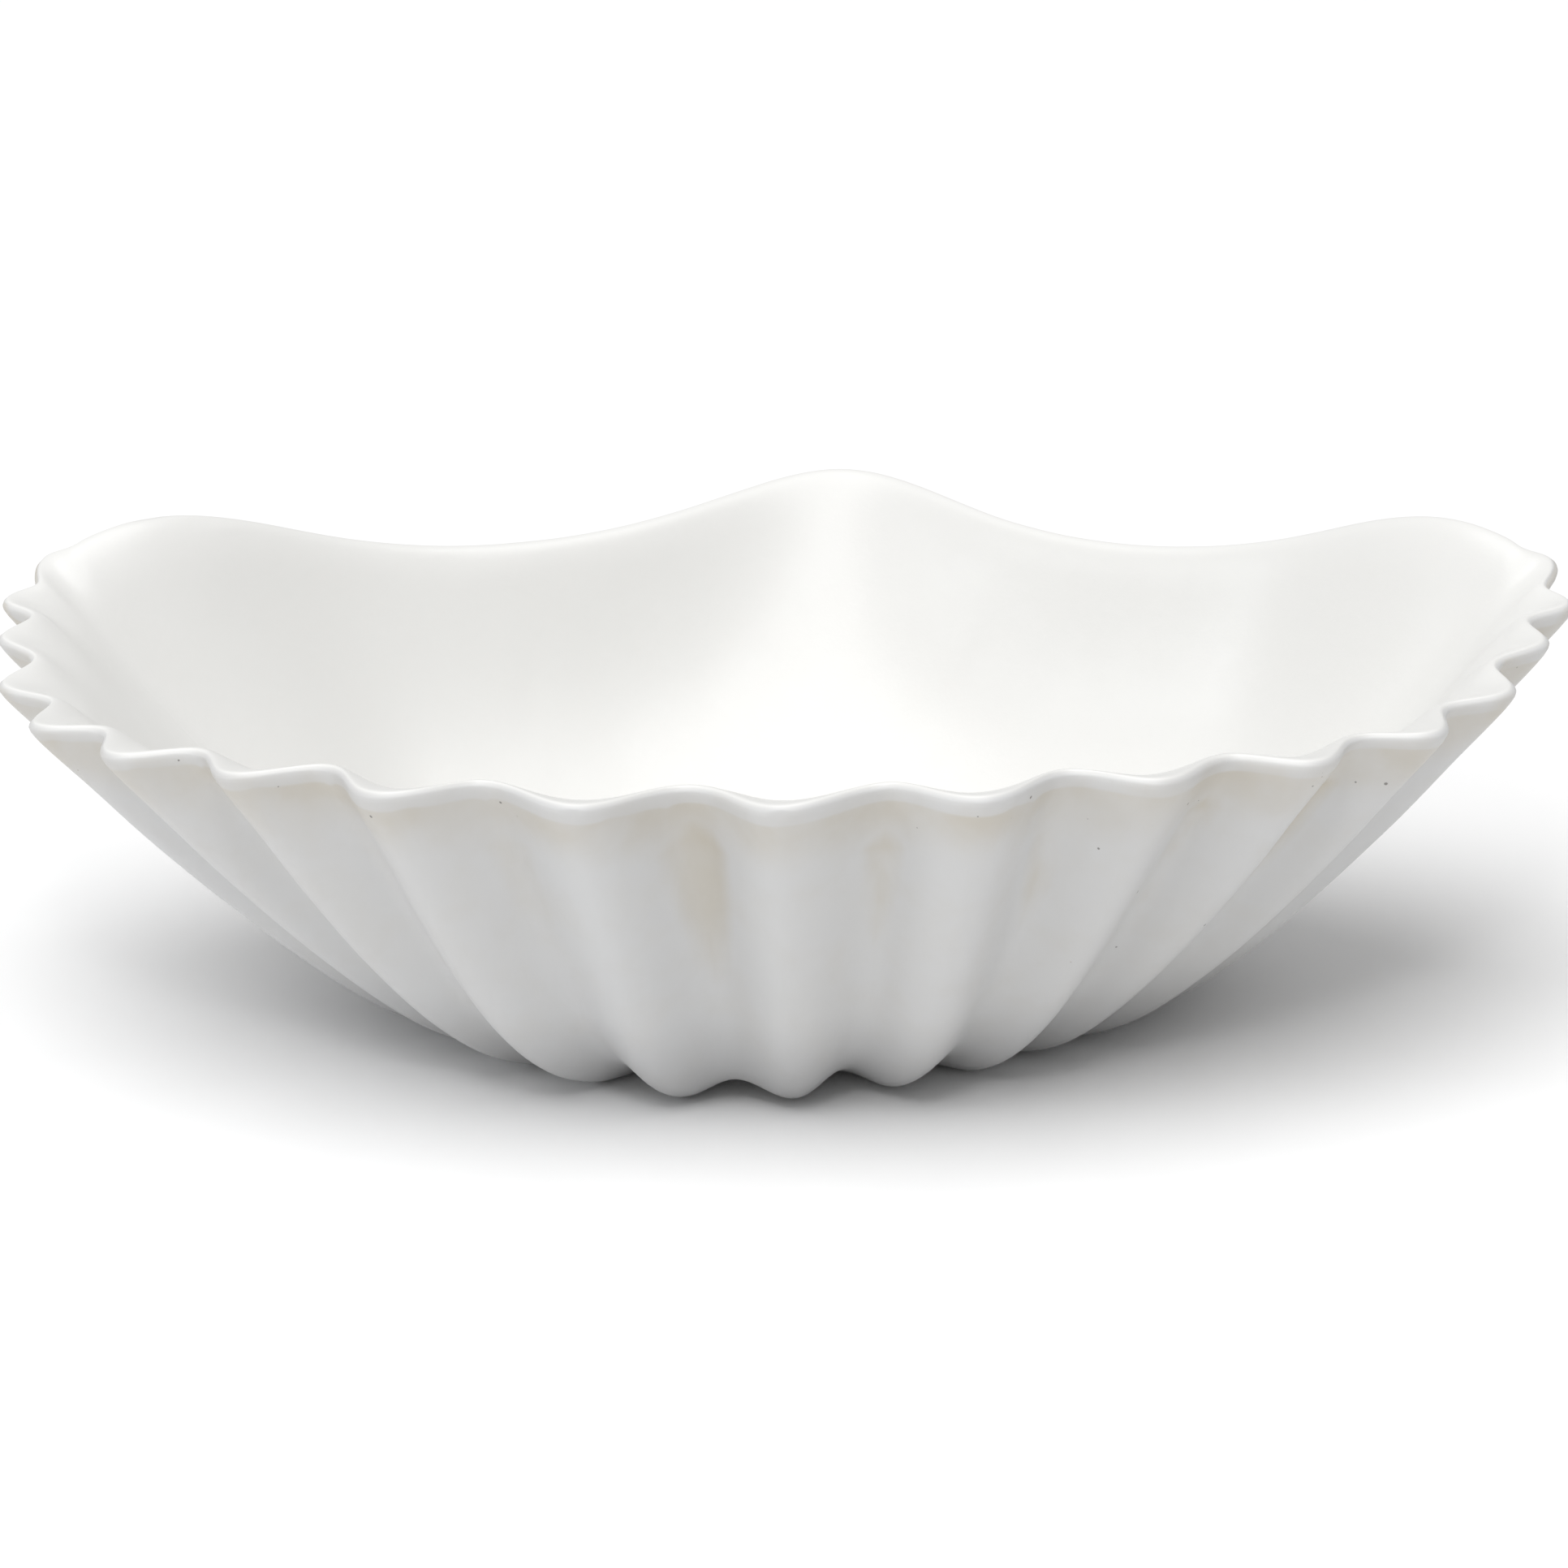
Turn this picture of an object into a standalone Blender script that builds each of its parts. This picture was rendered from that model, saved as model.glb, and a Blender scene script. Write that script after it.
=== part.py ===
# A scallop-shaped bowl, cast in one piece in a white mineral mix.
# Outside it has ribs that fan out from a flat foot to a lobed rim round the front and sides.
# Inside it is smooth, and across the back the wall is plain under a rim with three humps.
# Units are metres. X runs to the right, Y to the back and Z up.

import bpy
import bmesh
import numpy as np

# Middle line of the wall's top from the front centre round the right side to the back centre.
# Each station gives the distance across, the distance behind the front, and the height.
RIM_STATIONS = (
    (0.000, -0.021, 0.141),
    (0.090, -0.024, 0.145),
    (0.148, -0.001, 0.143),
    (0.197, 0.025, 0.1395),
    (0.240, 0.060, 0.137),
    (0.270, 0.1065, 0.1375),
    (0.285, 0.159, 0.1445),
    (0.2885, 0.203, 0.1505),
    (0.265, 0.223, 0.161),
    (0.192, 0.266, 0.1455),
    (0.066, 0.319, 0.1365),
    (0.000, 0.354, 0.145),
)

# The ribs: widths along the rim, from the front centre to the last full rib by the ear
RIBS_PER_SIDE = 8
FRONT_RIB_WIDTH = 0.0717
LAST_RIB_WIDTH = 0.0317
FADE_START = 0.45
FADE_LENGTH = 0.60

# Half the depth of a rib as a share of its width, at the rim and on the lower wall
RIM_DEPTH_SHARE = 0.158
DEPTH_RISE_START = 0.404
FOOT_FADE_SHARE = 0.25

# The flat foot is an oval under the middle of the bowl. Each wall line starts on its edge,
# at the place where the rim, drawn in to the foot's size, would lie in the same direction.
FOOT_MIDDLE_BACK = 0.155
FOOT_HALF_ACROSS = 0.1157
FOOT_HALF_DEEP = 0.0676
RIM_HALF_ACROSS = 0.29
RIM_HALF_DEEP = 0.18

# How the wall bends up, at these directions seen from the foot, from the front to the back
DIRECTIONS = np.radians((0.0, 35.0, 65.0, 95.0, 125.0, 180.0))
CORNER_PLACE = (0.442, 0.506, 0.20, 0.21, 0.86, 0.86)
CORNER_ROUNDNESS = (0.075, 0.301, 0.415, 0.58, 0.10, 0.12)
LOW_DEPTH_SHARE = (0.094, 0.120, 0.090, 0.040, 0.040, 0.040)
DISH_SHARE = (0.19, 0.19, 0.23, 0.26, 0.76, 0.78)
DISH_POWER = (2.0, 2.0, 2.0, 2.0, 1.45, 1.40)

# Behind the ears the wall lies on a line softened along the rim by this much each way, and only
# at its very top does it run out to the rim's own peak
SOFT_BACK_SPAN = 0.12
SOFT_BACK_START = np.radians(112.0)
SOFT_BACK_TURN = np.radians(36.0)

# The wall leans level near the rim, where each rib stands straight out
WALL = 0.0075
LEVEL_START = 0.76

# The lip: a small round on its outer edge, then a roll down into the smooth inside, broad in front
# and small at the back
LIP_RADIUS = 0.0020
ROLL_END = (0.89, 0.89, 0.89, 0.90, 0.95, 0.95)
ROLL_PULL = 0.55
LEAST_PULL = 0.0032

# Behind the ribs the wall is thicker by their depth, and this eases off along the plain rim
BACKING_LENGTH = 0.10

# Mesh fineness
SPLINE_SAMPLES = 4000
SOFT_BACK_STEPS = 21
STEPS_PER_RIB = 10
BACK_STEPS = 18
OUTER_ROWS = 11
LIP_STEPS = 3
ROLL_STEPS = 4
INNER_ROWS = 6

SHELL_COLOUR = (0.86, 0.86, 0.84, 1.0)
SHELL_ROUGHNESS = 0.42


def smooth_step(value):
    """Ease from 0 to 1 with level ends."""
    value = np.clip(value, 0.0, 1.0)
    return value * value * (3.0 - 2.0 * value)


def closed_spline(stations, samples):
    """A smooth closed curve through the stations, sampled evenly along its length."""
    count = len(stations)
    closed = np.vstack((stations, stations[:1]))
    gaps = np.linalg.norm(np.diff(closed, axis=0), axis=1)
    system = np.zeros((count, count))
    pull = np.zeros((count, 3))
    for i in range(count):
        system[i, i - 1] += gaps[i - 1]
        system[i, i] += 2.0 * (gaps[i - 1] + gaps[i])
        system[i, (i + 1) % count] += gaps[i]
        ahead = (closed[i + 1] - closed[i]) / gaps[i]
        behind = (closed[i] - closed[i - 1 if i else count - 1]) / gaps[i - 1]
        pull[i] = 6.0 * (ahead - behind)
    bend = np.linalg.solve(system, pull)
    curve = []
    for i in range(count):
        width = gaps[i]
        along = np.linspace(0.0, 1.0, samples // count, endpoint=False)[:, None]
        back = 1.0 - along
        line = back * closed[i] + along * closed[i + 1]
        curl = (back ** 3 - back) * bend[i] + (along ** 3 - along) * bend[(i + 1) % count]
        curve.append(line + curl * width * width / 6.0)
    curve = np.vstack(curve + [closed[:1]])
    steps = np.linalg.norm(np.diff(curve, axis=0), axis=1)
    return curve, np.concatenate(([0.0], np.cumsum(steps)))


def rib_marks():
    """Distance of each rib valley from the front centre, and each rib's width."""
    widths = np.linspace(FRONT_RIB_WIDTH, LAST_RIB_WIDTH, RIBS_PER_SIDE)
    widths = np.append(widths, LAST_RIB_WIDTH)
    return np.concatenate(([0.0], np.cumsum(widths))), widths


def half_columns(half_length):
    """Distances from the front centre of the mesh columns on one side, and their rib phases."""
    marks, _ = rib_marks()
    last_phase = RIBS_PER_SIDE + 1
    phases = np.arange(last_phase * STEPS_PER_RIB + 1) / STEPS_PER_RIB
    ribbed = np.interp(phases, np.arange(len(marks)), marks)
    plain = np.linspace(ribbed[-1], half_length, BACK_STEPS + 1)[1:]
    distances = np.concatenate((ribbed, plain))
    return distances, np.concatenate((phases, np.full(len(plain), float(last_phase))))


def around(direction, values):
    """Blend the values from station to station as the direction turns from front to back."""
    result = np.full(len(direction), values[0])
    for i in range(len(values) - 1):
        turn = (direction - DIRECTIONS[i]) / (DIRECTIONS[i + 1] - DIRECTIONS[i])
        result += (values[i + 1] - values[i]) * smooth_step(turn)
    return result


def normals(surface):
    """Outward unit normals of a grid of points, columns first and foot to rim second."""
    across = np.roll(surface, -1, axis=0) - np.roll(surface, 1, axis=0)
    upward = np.gradient(surface, axis=1)
    normal = np.cross(across, upward)
    return normal / np.linalg.norm(normal, axis=2)[:, :, None]


def unit(vectors):
    return vectors / np.linalg.norm(vectors, axis=-1)[..., None]


def ring_at(surface, places):
    """A ring of points on a surface, each at its share of the way from the foot (0) to the rim (1)."""
    row = places * (OUTER_ROWS - 1)
    low = np.minimum(row.astype(int), OUTER_ROWS - 2)
    column = np.arange(len(surface))
    lower = surface[column, low]
    return lower + (surface[column, low + 1] - lower) * (row - low)[:, None]


def shell_rings():
    """Closed rings of points, from the foot up the outside, over the lip and down to the floor."""
    right = np.array(RIM_STATIONS)
    left = right[-2:0:-1] * (-1.0, 1.0, 1.0)
    curve, lengths = closed_spline(np.vstack((right, left)), SPLINE_SAMPLES)
    half_length = lengths[-1] / 2.0
    distances, phases = half_columns(half_length)
    mirrored = slice(-2, 0, -1)
    places = np.concatenate((distances, 2.0 * half_length - distances[mirrored]))
    phase = np.concatenate((phases, phases[mirrored]))
    distance = np.concatenate((distances, distances[mirrored]))
    rim = np.stack([np.interp(places, lengths, curve[:, axis]) for axis in range(3)], axis=1)

    # The smooth wall without ribs, from the foot's edge (0) to the rim (1)
    middle = np.array((0.0, FOOT_MIDDLE_BACK))
    arm = rim[:, :2] - middle
    direction = np.arctan2(np.abs(arm[:, 0]), -arm[:, 1])
    aim = arm * (FOOT_HALF_ACROSS / RIM_HALF_ACROSS, FOOT_HALF_DEEP / RIM_HALF_DEEP)
    oval = np.hypot(aim[:, 0] / FOOT_HALF_ACROSS, aim[:, 1] / FOOT_HALF_DEEP)
    foot = aim / oval[:, None]
    climb = np.linspace(0.0, 1.0, OUTER_ROWS)
    corner = around(direction, CORNER_PLACE)[:, None]
    roundness = around(direction, CORNER_ROUNDNESS)[:, None]

    def bend(part):
        return part - corner + np.sqrt((part - corner) ** 2 + roundness ** 2)

    part = climb[None, :]
    whole = bend(1.0) - bend(0.0)
    first_slope = (1.0 - corner / np.hypot(corner, roundness)) / whole
    rise = (bend(part) - bend(0.0)) / whole - first_slope * part * (1.0 - part) ** 3
    dish = around(direction, DISH_SHARE)[:, None]
    rise = (1.0 - dish) * rise + dish * part ** around(direction, DISH_POWER)[:, None]
    plan = middle + foot[:, None, :] + (arm - foot)[:, None, :] * climb[None, :, None]
    spans = np.linspace(-SOFT_BACK_SPAN, SOFT_BACK_SPAN, SOFT_BACK_STEPS)
    nearby = (places[:, None] + spans) % lengths[-1]
    soft = np.stack([np.interp(nearby, lengths, curve[:, axis]).mean(axis=1) for axis in range(2)], axis=1)
    lag = (rim[:, :2] - soft) * smooth_step((direction - SOFT_BACK_START) / SOFT_BACK_TURN)[:, None]
    plan -= lag[:, None, :] * (climb * (1.0 - climb ** 4))[None, :, None]
    wall = np.concatenate((plan, (rim[:, 2:3] * rise)[:, :, None]), axis=2)

    # The ribs stand out from that wall as a wave whose depth follows their width
    marks, widths = rib_marks()
    width = np.interp(phase, np.arange(len(widths)) + 0.5, widths)
    last_valley = marks[RIBS_PER_SIDE]
    fade = 1.0 - smooth_step(((distance - last_valley) / LAST_RIB_WIDTH - FADE_START) / FADE_LENGTH)
    backing_fade = 1.0 - smooth_step((distance - last_valley) / BACKING_LENGTH)
    wave = -np.cos(2.0 * np.pi * phase)
    step = np.roll(plan, -1, axis=0) - np.roll(plan, 1, axis=0)
    spacing = np.linalg.norm(step, axis=2)
    narrowing = spacing / spacing[:, -1:]
    low_share = around(direction, LOW_DEPTH_SHARE)[:, None]
    growth = np.clip((climb - DEPTH_RISE_START) / (1.0 - DEPTH_RISE_START), 0.0, 1.0)
    share = low_share + (RIM_DEPTH_SHARE - low_share) * growth
    depth = width[:, None] * narrowing * share * smooth_step(climb / FOOT_FADE_SHARE)
    facing = normals(wall)
    facing[:, :, 2] *= 1.0 - smooth_step((climb - LEVEL_START) / (1.0 - LEVEL_START))
    facing = unit(facing)
    outer = wall + facing * (depth * (fade * wave)[:, None])[:, :, None]
    outer[:, :, 2] = np.maximum(outer[:, :, 2], 0.0)

    # The inside is smooth
    inner = wall - facing * (WALL + depth * backing_fade[:, None])[:, :, None]
    inner[:, 0, 2] = WALL

    # The lip turns over its outer edge in a small round, then rolls down into the inside
    rings = [outer[:, row] for row in range(OUTER_ROWS)]
    inward = -facing[:, -1]
    up = np.array((0.0, 0.0, 1.0))
    for turn in np.pi / 2.0 * np.arange(1, LIP_STEPS + 1) / LIP_STEPS:
        rings.append(outer[:, -1] + LIP_RADIUS * (inward * (1.0 - np.cos(turn)) + up * np.sin(turn)))
    crest = rings[-1]
    roll_end = around(direction, ROLL_END)
    join = ring_at(inner, roll_end)
    rising = unit(join - ring_at(inner, roll_end - 1.0 / OUTER_ROWS))
    rise_left = ((crest - join)[:, 2] / rising[:, 2])[:, None]
    room = ((join + rising * rise_left - crest) * inward).sum(axis=1)[:, None]
    first_pull = crest + inward * np.maximum(room * ROLL_PULL, LEAST_PULL)
    last_pull = join + rising * rise_left * ROLL_PULL
    for part in np.arange(1, ROLL_STEPS) / ROLL_STEPS:
        rest = 1.0 - part
        start = rest ** 3 * crest + 3.0 * rest ** 2 * part * first_pull
        rings.append(start + 3.0 * rest * part ** 2 * last_pull + part ** 3 * join)
    for share in np.linspace(1.0, 0.0, INNER_ROWS):
        rings.append(ring_at(inner, roll_end * share))
    return rings


def skin_rings(rings):
    """Join the rings with four-sided faces and close the foot and the floor."""
    body = bmesh.new()
    loops = [[body.verts.new(point) for point in ring] for ring in rings]
    count = len(loops[0])
    for lower, upper in zip(loops[:-1], loops[1:]):
        for i in range(count):
            j = (i + 1) % count
            body.faces.new((lower[i], lower[j], upper[j], upper[i]))
    body.faces.new(loops[0][::-1])
    body.faces.new(loops[-1])
    bmesh.ops.recalc_face_normals(body, faces=body.faces)
    return body


def white_cast():
    material = bpy.data.materials.new("white_cast")
    material.use_nodes = True
    shader = material.node_tree.nodes["Principled BSDF"]
    shader.inputs["Base Color"].default_value = SHELL_COLOUR
    shader.inputs["Roughness"].default_value = SHELL_ROUGHNESS
    shader.inputs["Metallic"].default_value = 0.0
    return material


def build_shell():
    rings = np.array(shell_rings())
    rings[:, :, 1] -= (rings[:, :, 1].min() + rings[:, :, 1].max()) / 2.0
    body = skin_rings(rings)
    mesh = bpy.data.meshes.new("shell")
    body.to_mesh(mesh)
    body.free()
    mesh.shade_smooth()
    mesh.materials.append(white_cast())
    shell = bpy.data.objects.new("shell", mesh)
    bpy.context.scene.collection.objects.link(shell)
    return shell


for old in list(bpy.data.objects):
    bpy.data.objects.remove(old)
build_shell()
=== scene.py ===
import math

import bpy
import numpy as np
from mathutils import Matrix, Vector, noise


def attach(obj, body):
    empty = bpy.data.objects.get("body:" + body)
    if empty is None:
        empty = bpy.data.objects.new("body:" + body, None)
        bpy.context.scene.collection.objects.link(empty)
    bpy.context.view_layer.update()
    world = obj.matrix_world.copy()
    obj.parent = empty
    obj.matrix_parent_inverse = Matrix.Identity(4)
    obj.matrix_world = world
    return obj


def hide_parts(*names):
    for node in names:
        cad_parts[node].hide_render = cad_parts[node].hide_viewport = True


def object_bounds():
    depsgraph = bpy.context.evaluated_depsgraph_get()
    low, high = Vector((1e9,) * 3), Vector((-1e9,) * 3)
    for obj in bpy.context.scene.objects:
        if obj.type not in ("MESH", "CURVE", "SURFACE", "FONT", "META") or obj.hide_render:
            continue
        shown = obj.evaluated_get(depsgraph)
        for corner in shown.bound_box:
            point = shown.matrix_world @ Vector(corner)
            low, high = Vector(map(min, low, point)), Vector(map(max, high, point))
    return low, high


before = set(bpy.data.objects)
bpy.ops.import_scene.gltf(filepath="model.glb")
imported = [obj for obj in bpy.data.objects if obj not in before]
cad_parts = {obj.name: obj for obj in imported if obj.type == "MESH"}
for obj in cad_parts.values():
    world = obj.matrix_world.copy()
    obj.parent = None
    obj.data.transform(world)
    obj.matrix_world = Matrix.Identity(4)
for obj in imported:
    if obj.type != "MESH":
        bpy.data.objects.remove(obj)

cad_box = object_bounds()

# The bowl is one cast piece of white mineral mix, poured thin over a scallop-shaped mould. Outside it
# has ribs that fan out from a flat foot, inside it is smooth, and its lip is rounded all the way.
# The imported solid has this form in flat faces, so a copy of it is merged and turned back to a grid.
MERGE_DISTANCE = 0.00001
PAIR_ANGLE = math.radians(60.0)
FLAT_NORMAL = 0.9995
FOOT_TOLERANCE = 0.001
FLOOR_TOLERANCE = 0.0002
LEAST_FLOOR_HEIGHT = 0.004
FLOOR_INSETS = (0.018, 0.022)
FOOT_INSET = 0.020

bpy.ops.object.select_all(action="DESELECT")
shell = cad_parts["shell"].copy()
shell.data = shell.data.copy()
shell.name = "cast_shell"
shell.data.name = "cast_shell"
shell.parent = None
shell.matrix_world = Matrix.Identity(4)
bpy.context.scene.collection.objects.link(shell)
bpy.context.view_layer.objects.active = shell
shell.select_set(True)
bpy.ops.object.mode_set(mode="EDIT")
bpy.ops.mesh.select_all(action="SELECT")
bpy.ops.mesh.remove_doubles(threshold=MERGE_DISTANCE)
bpy.ops.mesh.select_all(action="DESELECT")
bpy.ops.object.mode_set(mode="OBJECT")


def flat_faces(piece, facing, lowest, highest):
    """Select the level faces of the piece between two heights, and nothing else."""
    for face in piece.data.polygons:
        height = face.center.z
        face.select = face.normal.z * facing > FLAT_NORMAL and lowest < height < highest


def in_edit_mode(piece, *steps):
    """Run edit mode operators, given as (operator, settings), on what is selected in the piece."""
    bpy.context.view_layer.objects.active = piece
    bpy.ops.object.mode_set(mode="EDIT")
    bpy.ops.mesh.select_mode(type="FACE")
    for operator, settings in steps:
        operator(**settings)
    bpy.ops.object.mode_set(mode="OBJECT")


# The foot's underside and the inside floor each become one face, ringed by narrow insets
floor_height = min(v.co.z for v in shell.data.vertices if v.co.z > LEAST_FLOOR_HEIGHT)
flat_faces(shell, -1.0, -FOOT_TOLERANCE, FOOT_TOLERANCE)
in_edit_mode(shell, (bpy.ops.mesh.dissolve_faces, {}), (bpy.ops.mesh.inset, {"thickness": FOOT_INSET}))
flat_faces(shell, 1.0, floor_height - FLOOR_TOLERANCE, floor_height + FLOOR_TOLERANCE)
floor_rings = [(bpy.ops.mesh.inset, {"thickness": thickness}) for thickness in FLOOR_INSETS]
in_edit_mode(shell, (bpy.ops.mesh.dissolve_faces, {}), *floor_rings)
in_edit_mode(
    shell,
    (bpy.ops.mesh.select_all, {"action": "SELECT"}),
    (bpy.ops.mesh.tris_convert_to_quads, {"face_threshold": PAIR_ANGLE, "shape_threshold": PAIR_ANGLE}),
)

# The casting is smooth to the hand, so the grid is rounded twice. The grid is first pushed out by
# what the rounding takes off it, so that the rounded skin keeps the solid's size.
ROUNDINGS = 2
PUSH_ROUNDS = 2


def corners(mesh):
    places = np.empty(len(mesh.vertices) * 3)
    mesh.vertices.foreach_get("co", places)
    return places.reshape(-1, 3)


def put_corners(mesh, places):
    mesh.vertices.foreach_set("co", places.ravel())
    mesh.update()


def corner_normals(mesh):
    facing = np.empty(len(mesh.vertices) * 3)
    mesh.vertex_normals.foreach_get("vector", facing)
    return facing.reshape(-1, 3)


rounding = shell.modifiers.new("rounding", "SUBSURF")
rounding.levels = ROUNDINGS
rounding.render_levels = ROUNDINGS
solid_places = corners(shell.data)
facing = corner_normals(shell.data)
for _ in range(PUSH_ROUNDS):
    seen = shell.evaluated_get(bpy.context.evaluated_depsgraph_get())
    lost = ((solid_places - corners(seen.data)[:len(solid_places)]) * facing).sum(axis=1)
    put_corners(shell.data, corners(shell.data) + facing * lost[:, None])
    bpy.context.view_layer.update()

# Three facts about each corner stay on the mesh for the finish: how far it stands out of the wall
# round it (a rib's crest or its valley), how far below the rim it lies, and if it is outside.
RELIEF_ROUNDS = 14
RELIEF_DEPTH = 0.006
RIM_SECTORS = 120
SIDE_SHARPNESS = 1.6
LEAST_RADIUS = 0.001


def edge_ends(mesh):
    ends = np.empty(len(mesh.edges) * 2, dtype=np.int32)
    mesh.edges.foreach_get("vertices", ends)
    return ends.reshape(-1, 2)


def keep_fact(mesh, name, values):
    mesh.attributes.new(name, "FLOAT", "POINT").data.foreach_set("value", values)


ends = edge_ends(shell.data)
count = len(solid_places)
neighbours = np.bincount(ends.ravel(), minlength=count)
even = solid_places.copy()
for _ in range(RELIEF_ROUNDS):
    for axis in range(3):
        pulled = np.bincount(ends[:, 0], even[ends[:, 1], axis], count)
        pulled += np.bincount(ends[:, 1], even[ends[:, 0], axis], count)
        even[:, axis] = pulled / neighbours
relief = ((solid_places - even) * facing).sum(axis=1) / RELIEF_DEPTH
keep_fact(shell.data, "relief", np.clip(relief, -1.0, 1.0))

turn = np.arctan2(solid_places[:, 0], solid_places[:, 1])
sector = np.floor((turn / math.tau + 0.5) * RIM_SECTORS).astype(int) % RIM_SECTORS
rim_height = np.zeros(RIM_SECTORS)
np.maximum.at(rim_height, sector, solid_places[:, 2])
rim_height = (np.roll(rim_height, 1) + rim_height + np.roll(rim_height, -1)) / 3.0
keep_fact(shell.data, "drop", rim_height[sector] - solid_places[:, 2])

outward = solid_places[:, :2] / np.maximum(np.hypot(*solid_places[:, :2].T), LEAST_RADIUS)[:, None]
lean = (facing[:, :2] * outward).sum(axis=1) - facing[:, 2]
keep_fact(shell.data, "outside", np.clip(0.5 + SIDE_SHARPNESS * lean, 0.0, 1.0))

bpy.ops.object.modifier_apply(modifier=rounding.name)
shell.data.shade_smooth()

# Castings like this are never quite even: the skin swells and sinks by a few tenths of a millimetre.
# The foot was ground flat, so it stays level.
SWELL_SIZE = 0.075
SWELL_DEPTH = 0.0005
DIMPLE_SIZE = 0.022
DIMPLE_DEPTH = 0.00012
FOOT_RIM_HEIGHT = 0.012

places = corners(shell.data)
facing = corner_normals(shell.data)
swell = np.array([noise.noise(Vector(p) / SWELL_SIZE) for p in places]) * SWELL_DEPTH
swell += np.array([noise.noise(Vector(p) / DIMPLE_SIZE) for p in places]) * DIMPLE_DEPTH
swell *= np.clip(places[:, 2] / FOOT_RIM_HEIGHT, 0.0, 1.0)
places += facing * swell[:, None]
put_corners(shell.data, np.clip(places, cad_box[0], cad_box[1]))

# The white mix is satin from the mould and a little mottled, with pinholes where air was caught.
# Outside it is a little duller than inside, and its white is painted cooler and darker than the inside
# white as painted shade on the same mix; a faint beige stain has run down the valleys.
INSIDE_WHITE = (0.800, 0.797, 0.780, 1.0)
OUTSIDE_SHADED_WHITE = (0.625, 0.627, 0.629, 1.0)
# This beige serves the real stain and mottling, and also the painted shade under the lip
STAIN_AND_SHADE_BEIGE = (0.50, 0.44, 0.33, 1.0)
SATIN = 0.33


class Socket:
    """A shader socket, so that shader maths reads like plain maths."""

    def __init__(self, tree, link=None):
        self.tree = tree
        self.link = link

    def node(self, kind, settings=None, inputs=None, output=0):
        """Add a node, set it up, feed its inputs with values or sockets, and give one output."""
        made = self.tree.nodes.new(kind)
        for name, value in (settings or {}).items():
            setattr(made, name, value)
        for name, value in (inputs or {}).items():
            if isinstance(value, Socket):
                self.tree.links.new(value.link, made.inputs[name])
            else:
                made.inputs[name].default_value = value
        return Socket(self.tree, made.outputs[output])

    def maths(self, operation, first, second=0.0):
        return self.node("ShaderNodeMath", {"operation": operation}, {0: first, 1: second})

    def __add__(self, other):
        return self.maths("ADD", self, other)

    def __sub__(self, other):
        return self.maths("SUBTRACT", self, other)

    def __rsub__(self, other):
        return self.maths("SUBTRACT", other, self)

    def __mul__(self, other):
        return self.maths("MULTIPLY", self, other)

    def __truediv__(self, other):
        return self.maths("DIVIDE", self, other)

    def also(self, output):
        """Another output of the node that gave this one."""
        return Socket(self.tree, self.link.node.outputs[output])

    def ramp(self, low, high):
        """0 where this is below low, 1 where it is above high, and smooth between."""
        settings = {"interpolation_type": "SMOOTHSTEP"}
        return self.node("ShaderNodeMapRange", settings, {"Value": self, "From Min": low, "From Max": high})

    def blend(self, first, second):
        """The first colour where this is 0 and the second where it is 1."""
        return self.node("ShaderNodeMix", {"data_type": "RGBA"}, {0: self, 6: first, 7: second}, 2)

    def into(self, shader, name):
        self.tree.links.new(self.link, shader.inputs[name])


cast = bpy.data.materials.new("white_cast")
cast.use_nodes = True
skin = cast.node_tree.nodes["Principled BSDF"]
skin.inputs["IOR"].default_value = 1.5
paint = Socket(cast.node_tree)
place = paint.node("ShaderNodeTexCoord", output="Object")
relief = paint.node("ShaderNodeAttribute", {"attribute_name": "relief"}, output="Fac")
drop = paint.node("ShaderNodeAttribute", {"attribute_name": "drop"}, output="Fac")
outside = paint.node("ShaderNodeAttribute", {"attribute_name": "outside"}, output="Fac")
across = paint.node("ShaderNodeSeparateXYZ", None, {"Vector": place}, "X")
along = across.also("Y")
height = across.also("Z")


def cloud(scale, detail, squeeze=(1.0, 1.0, 1.0)):
    """Soft noise on the piece, squeezed along an axis to draw it out into streaks along it."""
    spot = paint.node("ShaderNodeMapping", None, {"Vector": place, "Scale": squeeze})
    return paint.node("ShaderNodeTexNoise", None, {"Vector": spot, "Scale": scale, "Detail": detail}, "Fac")


# Broad cloudiness of the mix, and finer mottling from the mould's release coat
broad = cloud(9.0, 3.0)
fine = cloud(70.0, 5.0)
# The outside takes the darker, cooler white: painted shade on the same mix
base = outside.blend(INSIDE_WHITE, OUTSIDE_SHADED_WHITE)
dull = (broad.ramp(0.35, 0.75) * 0.5 + fine.ramp(0.4, 0.8) * 0.5) * (outside * 0.12 + 0.02)
base = dull.blend(base, STAIN_AND_SHADE_BEIGE)

# The stain starts under the rim and thins out down the valleys in drawn-out streaks, more on the right, and
# a narrow uneven band of painted shade lies close under the outer edge of the lip, where the lip overhangs
# the wall. The back wall has no ribs, so it has no valleys for a stain to run down.
STAIN_STRENGTH = 0.70
UNDER_LIP_SHADE_STRENGTH = 0.50
outer_skin = outside.ramp(0.55, 0.9)
streak = cloud(26.0, 4.0, (1.0, 1.0, 0.12))
valley = (1.0 - relief.ramp(-0.70, -0.10)) * (1.0 - along.ramp(0.02, 0.07))
thinning = 1.0 - drop.ramp(0.04, 0.15)
run = valley * streak.ramp(0.34, 0.58) * thinning * (across.ramp(-0.10, 0.08) * 0.8 + 0.2)
# A narrow uneven band of painted shade close under the lip's outer edge
under_lip_band = drop.ramp(0.001, 0.004) * (1.0 - drop.ramp(0.005, 0.032))
under_lip_shade = under_lip_band * (cloud(40.0, 3.0).ramp(0.3, 0.7) * 0.5 + 0.5)
base = (outer_skin * (run * STAIN_STRENGTH + under_lip_shade * UNDER_LIP_SHADE_STRENGTH)).blend(base, STAIN_AND_SHADE_BEIGE)

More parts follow.
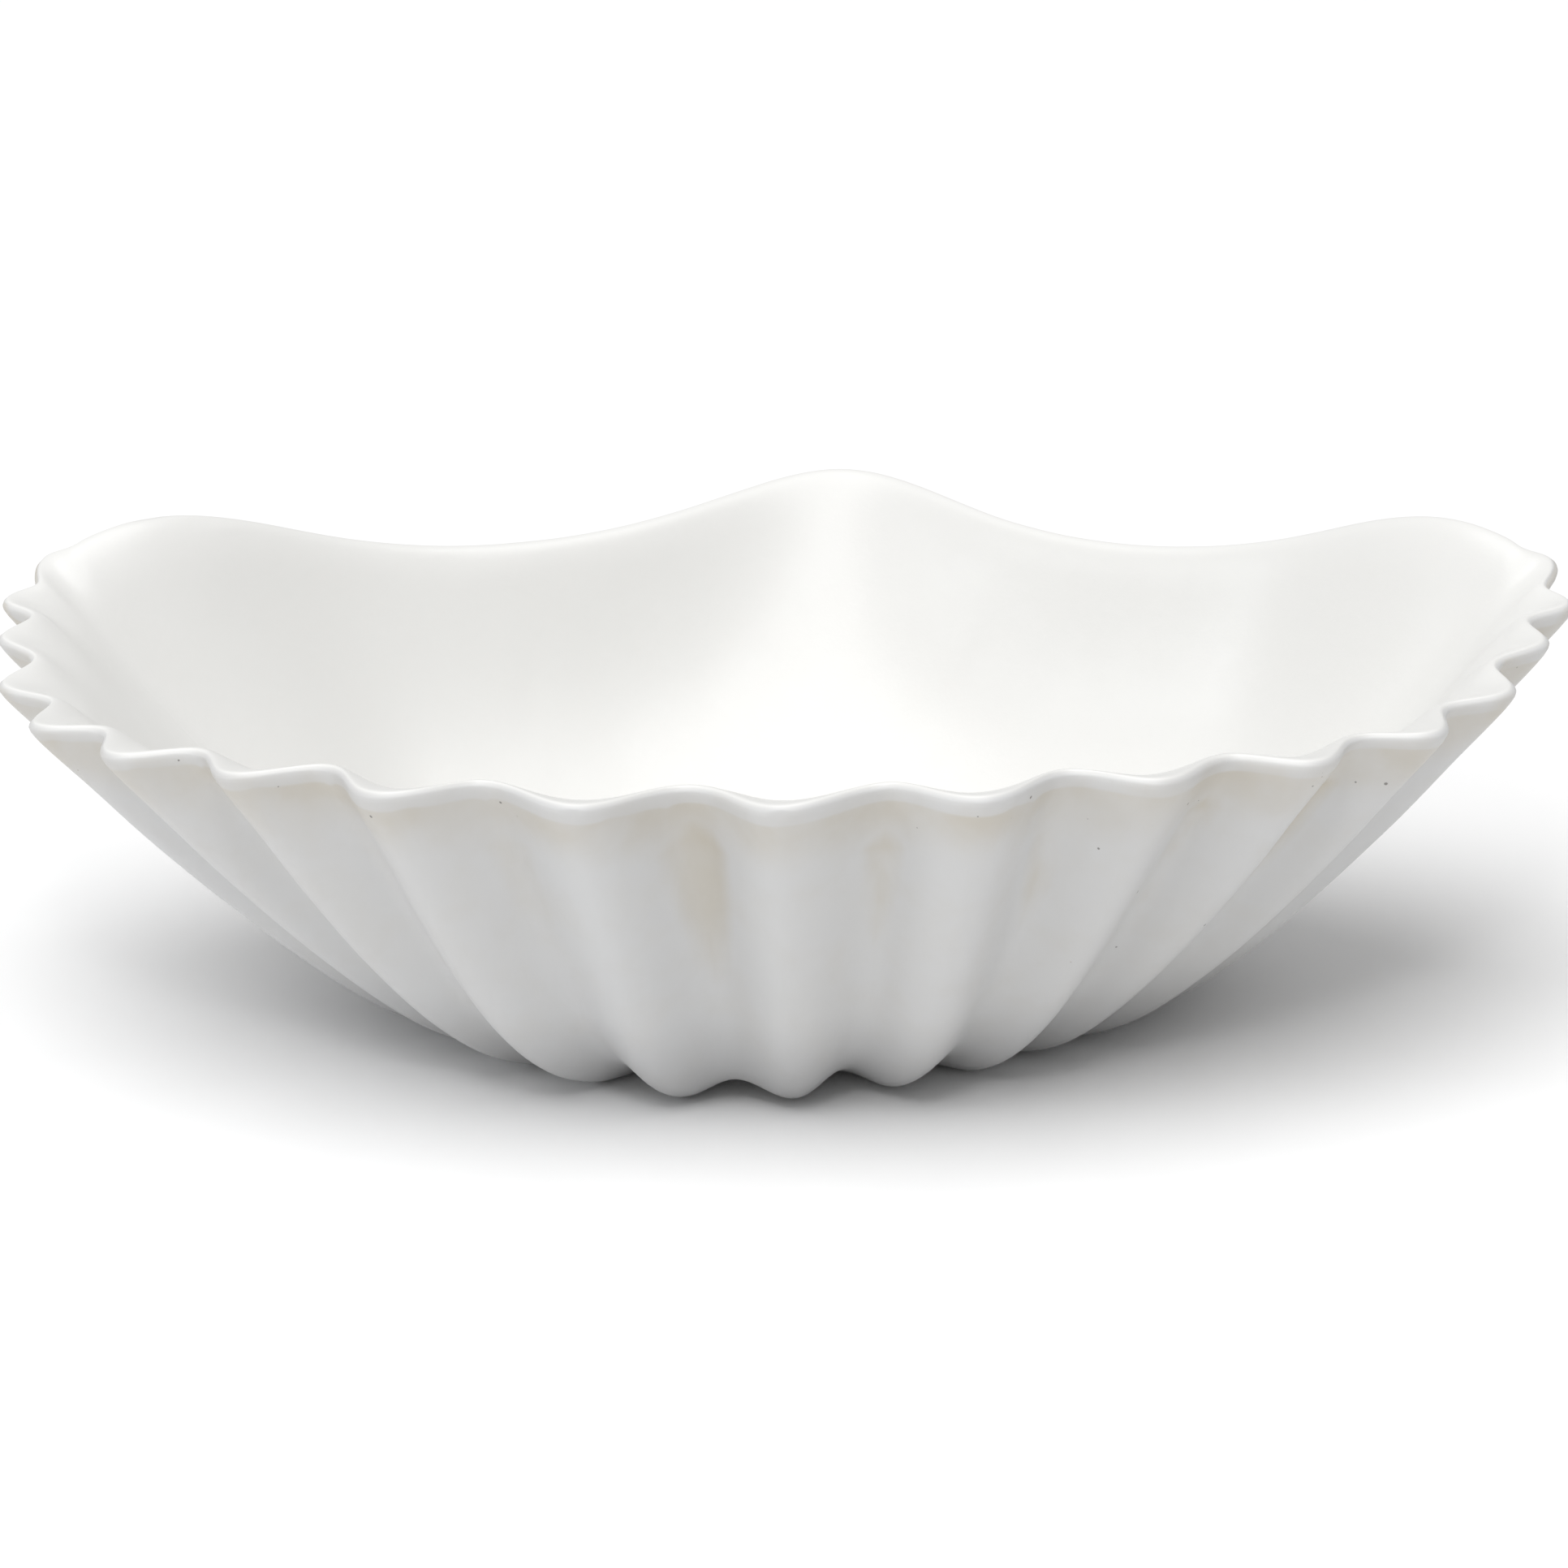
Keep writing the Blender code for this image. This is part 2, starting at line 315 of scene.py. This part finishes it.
# Painted shade greys the outside skin close above the foot, darkest at the floor
FOOT_SHADE_GREY = (0.27, 0.27, 0.275, 1.0)
FOOT_SHADE_HEIGHT = 0.050
FOOT_SHADE_STRENGTH = 0.75
foot_shade = outer_skin * (1.0 - height.ramp(0.0, FOOT_SHADE_HEIGHT)) * (broad * 0.6 + 0.4)
base = (foot_shade * FOOT_SHADE_STRENGTH).blend(base, FOOT_SHADE_GREY)

# Pinholes of uneven size, thick close under the lip outside and few elsewhere
HOLE_CROWD = 140.0
HOLE_RADIUS = 0.0009
HOLE_DARKNESS = 0.85
HOLE_GREY = (0.20, 0.19, 0.18, 1.0)
HOLE_BROWN = (0.30, 0.17, 0.12, 1.0)
gap = paint.node("ShaderNodeTexVoronoi", None, {"Vector": place, "Scale": HOLE_CROWD}, "Distance")
size = paint.node("ShaderNodeSeparateColor", None, {"Color": gap.also("Color")}, "Red")
near_lip = 1.0 - drop.ramp(0.012, 0.035)
share = outer_skin * (near_lip * 0.50 + 0.03)
chosen = (size.also("Green") - 1.0 + share).ramp(0.0, 0.01)
reach = HOLE_RADIUS * HOLE_CROWD
hole = chosen * (1.0 - (gap / (size * 0.7 + 0.3)).ramp(reach * 0.6, reach))
hole_colour = size.also("Blue").ramp(0.7, 0.9).blend(HOLE_GREY, HOLE_BROWN)
base = (hole * HOLE_DARKNESS).blend(base, hole_colour)
base.into(skin, "Base Color")

# The outside is a little rougher than the inside, and a fine grain and the pinholes dent the skin
GRAIN_STRENGTH = 0.25
GRAIN_DEPTH = 0.0006
rough = fine * 0.10 + broad * 0.10 + outside * 0.14 + (SATIN - 0.10) + hole * 0.4
rough.into(skin, "Roughness")
grain = cloud(240.0, 4.0) * 0.35 + cloud(900.0, 2.0) * 0.15 - hole * 1.6
grain_inputs = {"Height": grain, "Strength": GRAIN_STRENGTH, "Distance": GRAIN_DEPTH}
dent = paint.node("ShaderNodeBump", None, grain_inputs)
dent.into(skin, "Normal")

shell.data.materials.clear()
shell.data.materials.append(cast)
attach(shell, "root")
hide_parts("shell")

# A plain pale floor, wide enough to fill the view from any side.
FLOOR_SIZE = 30.0
FLOOR_COLOUR = (0.94, 0.94, 0.94, 1.0)

bpy.ops.object.select_all(action="DESELECT")
bpy.ops.mesh.primitive_plane_add(size=FLOOR_SIZE, location=(0.0, 0.0, -0.0002))
ground = bpy.context.object
ground.name = "floor"
bpy.ops.object.transform_apply(location=True, rotation=True, scale=True)
paper = bpy.data.materials.new("pale_floor")
paper.use_nodes = True
paper.node_tree.nodes["Principled BSDF"].inputs["Base Color"].default_value = FLOOR_COLOUR
paper.node_tree.nodes["Principled BSDF"].inputs["Roughness"].default_value = 1.0
paper.node_tree.nodes["Principled BSDF"].inputs["Specular IOR Level"].default_value = 0.1
ground.data.materials.append(paper)

# Even soft studio light: a very wide ceiling light, and two small panels whose light shows on the
# satin, a cool one on the left and one high in front.
CEILING_LIGHT = 2.00
CEILING_SPREAD = math.radians(56.0)
CEILING_LEAN = (math.radians(15.0), math.radians(-4.0), 0.0)
PANELS = (
    ("left", (-2.3, -1.3, 1.3), 0.8, 8.0, (0.94, 0.97, 1.0)),
    ("front", (0.25, -2.0, 2.0), 0.35, 6.0, (1.0, 1.0, 1.0)),
)


def hang(name, kind, power, colour):
    """Put up a lamp of one kind and hand back the lamp and its holder."""
    lamp = bpy.data.lights.new(name, kind)
    lamp.energy = power
    lamp.color = colour
    holder = bpy.data.objects.new(name, lamp)
    bpy.context.scene.collection.objects.link(holder)
    return lamp, holder


ceiling, ceiling_holder = hang("ceiling", "SUN", CEILING_LIGHT, (1.0, 1.0, 1.0))
ceiling.angle = CEILING_SPREAD
ceiling_holder.rotation_euler = CEILING_LEAN
for name, spot, size, power, colour in PANELS:
    panel, holder = hang(name, "AREA", power, colour)
    panel.size = size
    holder.location = spot
    holder.rotation_euler = (Vector((0.0, 0.0, 0.08)) - Vector(spot)).to_track_quat("-Z", "Y").to_euler()

sky = bpy.data.worlds.new("studio")
sky.use_nodes = True
sky.node_tree.nodes["Background"].inputs["Color"].default_value = (1.0, 1.0, 1.0, 1.0)
sky.node_tree.nodes["Background"].inputs["Strength"].default_value = 0.44
bpy.context.scene.world = sky
bpy.context.scene.view_settings.view_transform = "Standard"

# The camera stands in front and a little to the right, well back, and looks down into the bowl.
CAMERA_AIM = (-0.00705, 0.06756, 0.05913)
CAMERA_TURN = math.radians(9.75)
CAMERA_RISE = math.radians(19.459)
CAMERA_ROLL = math.radians(-2.889)
CAMERA_DISTANCE = 2.5226
CAMERA_LENS = 151.2

eye = bpy.data.cameras.new("camera")
eye.lens = CAMERA_LENS
eye.sensor_width = 36.0
view_point = bpy.data.objects.new("camera", eye)
bpy.context.scene.collection.objects.link(view_point)
back = Vector((
    math.sin(CAMERA_TURN) * math.cos(CAMERA_RISE),
    -math.cos(CAMERA_TURN) * math.cos(CAMERA_RISE),
    math.sin(CAMERA_RISE),
))
level = Matrix.Rotation(CAMERA_TURN, 4, "Z") @ Matrix.Rotation(math.pi / 2.0 - CAMERA_RISE, 4, "X")
view_point.matrix_world = (
    Matrix.Translation(Vector(CAMERA_AIM) + back * CAMERA_DISTANCE)
    @ level
    @ Matrix.Rotation(CAMERA_ROLL, 4, "Z")
)
bpy.context.scene.camera = view_point
